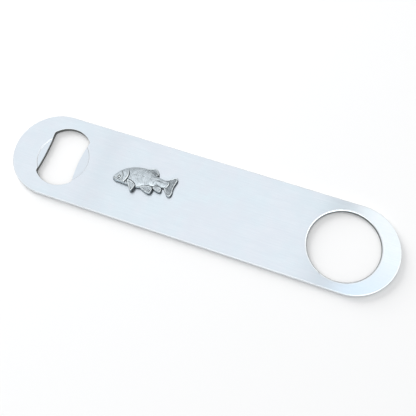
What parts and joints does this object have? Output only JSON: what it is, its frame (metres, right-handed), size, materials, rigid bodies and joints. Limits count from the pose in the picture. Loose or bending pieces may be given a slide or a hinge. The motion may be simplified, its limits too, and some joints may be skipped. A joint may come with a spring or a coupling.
{
  "type": "bottle opener",
  "caption": "Flat bar-blade bottle opener with rounded ends, a cap opening with a coined ring, a finger hole and a cast carp relief bonded to its face.",
  "frame": {"origin": "middle of the blade's flat back, on the surface that it lies on", "axes": "+X along the blade towards the finger hole, +Z out of the face that carries the emblem, +Y towards the carp's back"},
  "size_m": [0.178, 0.04, 0.0053],
  "materials": {
    "stainless_steel": "stainless plate, brushed along its length, edges tumbled round",
    "antiqued_pewter": "cast pewter, dark patina in the recesses and polished on the crests",
    "clear_epoxy": "thin cured epoxy film"
  },
  "bodies": {
    "root": {"blade": "stainless_steel", "carp_emblem": "antiqued_pewter", "adhesive_layer": "clear_epoxy"}
  },
  "joints": []
}
